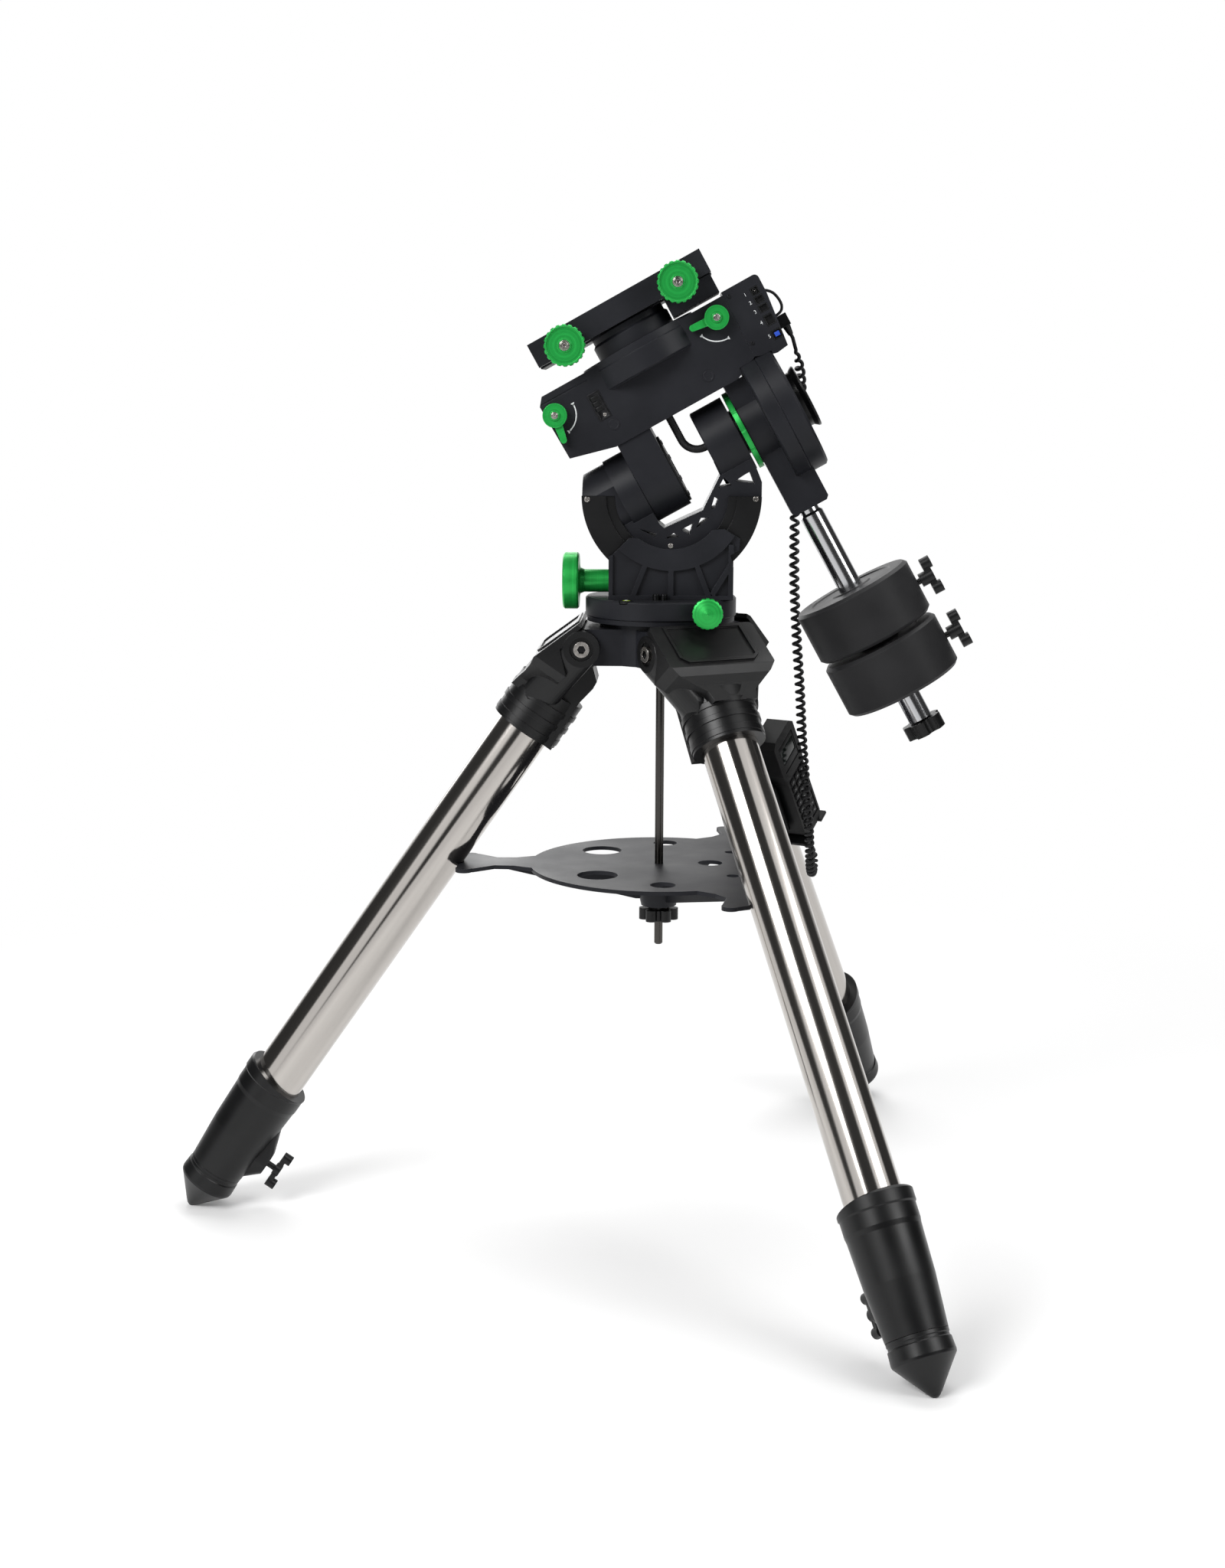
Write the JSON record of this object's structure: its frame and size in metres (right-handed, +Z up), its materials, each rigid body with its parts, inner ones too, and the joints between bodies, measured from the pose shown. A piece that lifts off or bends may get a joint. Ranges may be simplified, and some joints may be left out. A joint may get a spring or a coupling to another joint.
{
  "type": "equatorial telescope mount",
  "caption": "Centre-balanced equatorial mount on a three-legged field tripod, with counterweights, a dovetail saddle, an accessory tray and a wired hand controller.",
  "frame": {"origin": "on the ground, under the azimuth axis", "axes": "+Z up along the azimuth axis; +X towards the raised end of the polar axis; -Y towards the side with the knobs and sockets"},
  "size_m": [1.0361, 1.1158, 1.2575],
  "materials": {
    "coat": "satin black powder coat on cast aluminium",
    "plastic": "satin moulded",
    "steel": "polished",
    "tube": "polished stainless",
    "green": "anodised satin",
    "iron": "painted satin",
    "bronze": "machined",
    "board": "matt",
    "handset": "matt",
    "rubber": "matt"
  },
  "bodies": {
    "tripod": {"tripod_hub": "coat", "center_rod": "steel", "hip_bolts": "steel"},
    "az_base": {"azimuth_disc": "coat", "altitude_base": "coat"},
    "az_knob_near": {"az_knob_near": "green"},
    "az_knob_far": {"az_knob_far": "green"},
    "altitude_knob": {"altitude_knob": "green"},
    "cradle": {"cradle_frame": "coat", "cradle_rails": "plastic", "south_drum": "coat", "north_drum": "coat", "ra_wheel": "bronze", "cable_loop": "rubber"},
    "ra_body": {"dec_housing": "coat", "electronics_box": "coat", "port_connectors": "plastic", "ra_ring": "green", "ra_housing": "coat", "polar_cap": "plastic", "south_bracket": "coat", "bracket_cover": "iron", "counterweight_shaft": "steel", "control_board": "board", "drive_motors": "iron"},
    "ra_worm": {"ra_worm": "steel"},
    "dec_worm": {"dec_worm": "steel"},
    "ra_lever": {"ra_lever": "green"},
    "dec_lever": {"dec_lever": "green"},
    "dec_head": {"dec_neck": "coat", "dec_wheel": "bronze", "saddle": "coat"},
    "saddle_jaw": {"saddle_jaw": "coat"},
    "saddle_knob_south": {"saddle_knob_south": "green"},
    "saddle_knob_north": {"saddle_knob_north": "green"},
    "weight_upper": {"weight_upper": "iron"},
    "weight_lower": {"weight_lower": "iron"},
    "weight_knob_upper": {"weight_knob_upper": "plastic"},
    "weight_knob_lower": {"weight_knob_lower": "plastic"},
    "toe_knob": {"toe_knob": "plastic"},
    "tray": {"tray": "coat"},
    "tray_knob": {"tray_knob": "plastic"},
    "handset": {"handset_case": "handset"},
    "leg_left": {"hip_left": "plastic", "tube_left": "tube", "collar_left": "plastic"},
    "lower_leg_left": {"lower_leg_left": "plastic"},
    "leg_lock_left": {"leg_lock_left": "plastic"},
    "leg_front": {"hip_front": "plastic", "tube_front": "tube", "collar_front": "plastic"},
    "lower_leg_front": {"lower_leg_front": "plastic"},
    "leg_lock_front": {"leg_lock_front": "plastic"},
    "leg_rear": {"hip_rear": "plastic", "tube_rear": "tube", "collar_rear": "plastic", "handset_holder": "handset", "handset_cord": "rubber"},
    "lower_leg_rear": {"lower_leg_rear": "plastic"},
    "leg_lock_rear": {"leg_lock_rear": "plastic"}
  },
  "joints": [
    {"name": "azimuth", "type": "hinge", "parent": "tripod", "child": "az_base", "pos_m": [0, 0, 0.80353], "axis": [0, 0, 1], "range_deg": [-6, 6], "deforming": ["handset_cord"]},
    {"name": "az_knob_near_turn", "type": "hinge", "parent": "az_base", "child": "az_knob_near", "pos_m": [0.059, -0.1, 0.81553], "axis": [0, -1, 0], "range_deg": [-1140, 1140]},
    {"name": "az_knob_far_turn", "type": "hinge", "parent": "az_base", "child": "az_knob_far", "pos_m": [0.059, 0.1, 0.81553], "axis": [0, 1, 0], "range_deg": [-1140, 1140]},
    {"name": "altitude", "type": "hinge", "parent": "az_base", "child": "cradle", "pos_m": [0.013, 0, 0.95653], "axis": [0, -1, 0], "range_deg": [-20, 30], "deforming": ["handset_cord"]},
    {"name": "altitude_knob_turn", "type": "hinge", "parent": "az_base", "child": "altitude_knob", "pos_m": [-0.1, 0, 0.84623], "axis": [1, 0, 0], "range_deg": [-1850, 2750]},
    {"name": "ra", "type": "hinge", "parent": "cradle", "child": "ra_body", "pos_m": [-0.00009, 0, 0.98015], "axis": [0.8746, 0, 0.4848], "range_deg": [-90, 90], "deforming": ["handset_cord", "cable_loop"]},
    {"name": "dec", "type": "hinge", "parent": "ra_body", "child": "dec_head", "pos_m": [-0.03848, 0, 1.15667], "axis": [-0.4848, 0, 0.8746], "continuous": true},
    {"name": "ra_worm_turn", "type": "hinge", "parent": "ra_body", "child": "ra_worm", "pos_m": [0.17166, 0, 1.00446], "axis": [0, 1, 0], "continuous": true},
    {"name": "dec_worm_turn", "type": "hinge", "parent": "ra_body", "child": "dec_worm", "pos_m": [-0.06748, 0, 1.10172], "axis": [0, 1, 0], "continuous": true},
    {"name": "ra_lever_turn", "type": "hinge", "parent": "ra_body", "child": "ra_lever", "pos_m": [0.06643, -0.06, 1.17366], "axis": [0, -1, 0], "range_deg": [0, 75]},
    {"name": "dec_lever_turn", "type": "hinge", "parent": "ra_body", "child": "dec_lever", "pos_m": [-0.13173, -0.06, 1.05467], "axis": [0, -1, 0], "range_deg": [0, 75]},
    {"name": "saddle_knob_south_turn", "type": "hinge", "parent": "saddle_jaw", "child": "saddle_knob_south", "pos_m": [-0.11853, -0.07, 1.13916], "axis": [0, -1, 0], "range_deg": [0, 2304]},
    {"name": "saddle_jaw_open", "type": "slide", "parent": "dec_head", "child": "saddle_jaw", "axis": [0, -1, 0], "range_m": [0, 0.0081]},
    {"name": "saddle_knob_north_turn", "type": "hinge", "parent": "saddle_jaw", "child": "saddle_knob_north", "pos_m": [0.01878, -0.07, 1.21528], "axis": [0, -1, 0], "range_deg": [0, 2310]},
    {"name": "weight_upper_slide", "type": "slide", "parent": "ra_body", "child": "weight_upper", "axis": [-0.4848, 0, 0.8746], "range_m": [0, 0.085]},
    {"name": "weight_lower_slide", "type": "slide", "parent": "ra_body", "child": "weight_lower", "axis": [0.4848, 0, -0.8746], "range_m": [0, 0.04]},
    {"name": "weight_knob_upper_turn", "type": "hinge", "parent": "weight_upper", "child": "weight_knob_upper", "pos_m": [0.33702, 0, 0.85259], "axis": [0.8746, 0, 0.4848], "continuous": true},
    {"name": "weight_knob_lower_turn", "type": "hinge", "parent": "weight_lower", "child": "weight_knob_lower", "pos_m": [0.37435, 0, 0.78524], "axis": [0.8746, 0, 0.4848], "continuous": true},
    {"name": "toe_knob_turn", "type": "hinge", "parent": "ra_body", "child": "toe_knob", "pos_m": [0.33684, 0, 0.66727], "axis": [-0.4848, 0, 0.8746], "continuous": true},
    {"name": "tray_drop", "type": "slide", "parent": "tripod", "child": "tray", "axis": [0, 0, -1], "range_m": [0, 0.24]},
    {"name": "tray_knob_turn", "type": "hinge", "parent": "tray", "child": "tray_knob", "pos_m": [0, 0, 0.41821], "axis": [0, 0, 1], "continuous": true},
    {"name": "leg_left_fold", "type": "hinge", "parent": "tripod", "child": "leg_left", "pos_m": [-0.098, 0, 0.76613], "axis": [0, -1, 0], "range_deg": [0, 14.4]},
    {"name": "leg_left_extend", "type": "slide", "parent": "leg_left", "child": "lower_leg_left", "axis": [-0.5707, 0, -0.8211], "range_m": [0, 0.34]},
    {"name": "leg_lock_left_turn", "type": "hinge", "parent": "leg_left", "child": "leg_lock_left", "pos_m": [-0.51843, 0, 0.05608], "axis": [0.8211, 0, -0.5707], "continuous": true},
    {"name": "leg_front_fold", "type": "hinge", "parent": "tripod", "child": "leg_front", "pos_m": [0.049, -0.08487, 0.76613], "axis": [0.866, 0.5, 0], "range_deg": [0, 14.4]},
    {"name": "leg_front_extend", "type": "slide", "parent": "leg_front", "child": "lower_leg_front", "axis": [0.2854, -0.4943, -0.8211], "range_m": [0, 0.34]},
    {"name": "leg_lock_front_turn", "type": "hinge", "parent": "leg_front", "child": "leg_lock_front", "pos_m": [0.25921, -0.44897, 0.05608], "axis": [-0.4106, 0.7111, -0.5707], "continuous": true},
    {"name": "leg_rear_fold", "type": "hinge", "parent": "tripod", "child": "leg_rear", "pos_m": [0.049, 0.08487, 0.76613], "axis": [-0.866, 0.5, 0], "range_deg": [0, 14.4], "deforming": ["handset_cord"]},
    {"name": "leg_rear_extend", "type": "slide", "parent": "leg_rear", "child": "lower_leg_rear", "axis": [0.2854, 0.4943, -0.8211], "range_m": [0, 0.34]},
    {"name": "leg_lock_rear_turn", "type": "hinge", "parent": "leg_rear", "child": "leg_lock_rear", "pos_m": [0.25921, 0.44897, 0.05608], "axis": [-0.4106, -0.7111, -0.5707], "continuous": true},
    {"name": "handset_lift", "type": "slide", "parent": "leg_rear", "child": "handset", "axis": [-0.2854, -0.4943, 0.8211], "range_m": [0, 0.02], "deforming": ["handset_cord"]}
  ],
  "couplings": [
    {"joint": "az_knob_near_turn", "follows": "azimuth", "ratio": 185.35},
    {"joint": "az_knob_far_turn", "follows": "azimuth", "ratio": 185.35},
    {"joint": "altitude_knob_turn", "follows": "altitude", "ratio": 90},
    {"joint": "saddle_jaw_open", "follows": "saddle_knob_south_turn", "m_per_rad": 0.00019894},
    {"joint": "saddle_knob_north_turn", "follows": "saddle_knob_south_turn", "ratio": 1},
    {"joint": "leg_left_fold", "follows": "tray_drop", "rad_per_m": 1.04},
    {"joint": "leg_front_fold", "follows": "tray_drop", "rad_per_m": 1.04},
    {"joint": "leg_rear_fold", "follows": "tray_drop", "rad_per_m": 1.04}
  ]
}
